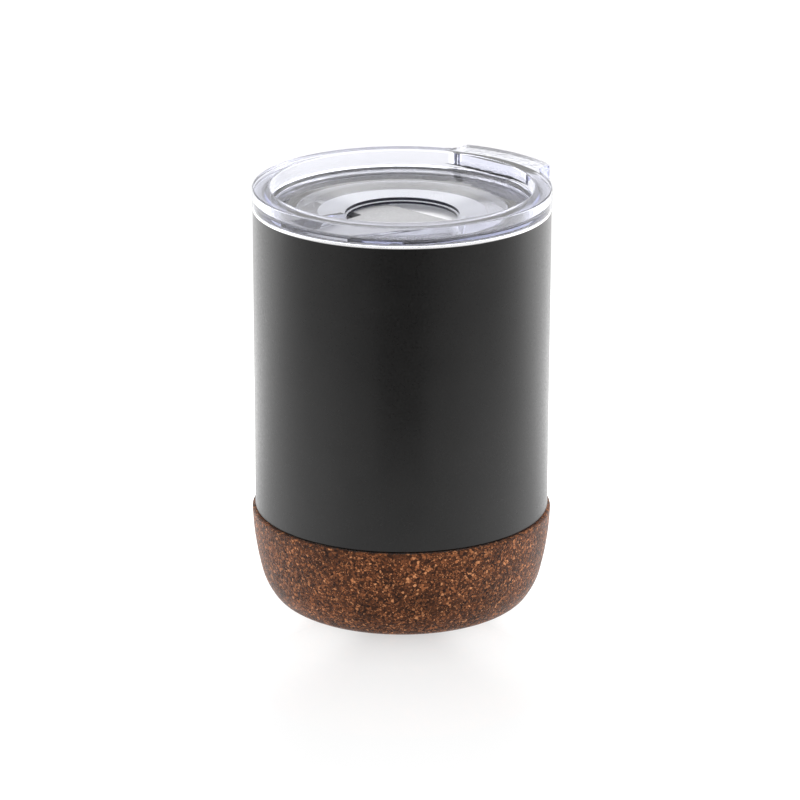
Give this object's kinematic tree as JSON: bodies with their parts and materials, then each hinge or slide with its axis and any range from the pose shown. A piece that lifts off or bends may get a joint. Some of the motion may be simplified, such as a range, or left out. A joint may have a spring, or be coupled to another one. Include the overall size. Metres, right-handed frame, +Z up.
{
  "type": "insulated travel cup",
  "caption": "Rigid double-wall steel travel cup with a black coat, a granulated cork base and a clear push-on lid with a lift tab and slide closure.",
  "frame": {"origin": "centre of the flat base, on the cup's axis", "axes": "+Z up along the cup's axis, +Y to the lid's lift tab, -Y to the drinking slot"},
  "size_m": [0.0745, 0.0787, 0.1063],
  "materials": {
    "coated_steel": "satin black coat, bare polished lip",
    "steel": "fine brushed",
    "seal_glass": "fused",
    "getter_metal": "pressed powder",
    "cork": "moulded dark cork granules, matt",
    "adhesive": "cured adhesive",
    "clear_plastic": "clear, polished, faint blue-violet in thick sections",
    "silicone": "translucent white",
    "grey_plastic": "fine-textured light grey"
  },
  "bodies": {
    "cup": {"outer_shell": "coated_steel", "inner_liner": "steel", "outer_bottom": "steel", "seal_bead": "seal_glass", "getter": "getter_metal", "getter_clip": "steel", "cork_base": "cork", "base_adhesive": "adhesive"},
    "lid": {"lid_body": "clear_plastic", "lid_underplate": "clear_plastic", "lid_gasket": "silicone"},
    "slide_closure": {"slider": "grey_plastic", "slider_seal": "silicone"}
  },
  "joints": [
    {"name": "lid_lift", "type": "slide", "parent": "cup", "child": "lid", "axis": [0, 0, 1], "range_m": [0, 0.06]},
    {"name": "slider_open", "type": "slide", "parent": "lid", "child": "slide_closure", "axis": [0, 1, 0], "range_m": [0, 0.012]}
  ]
}
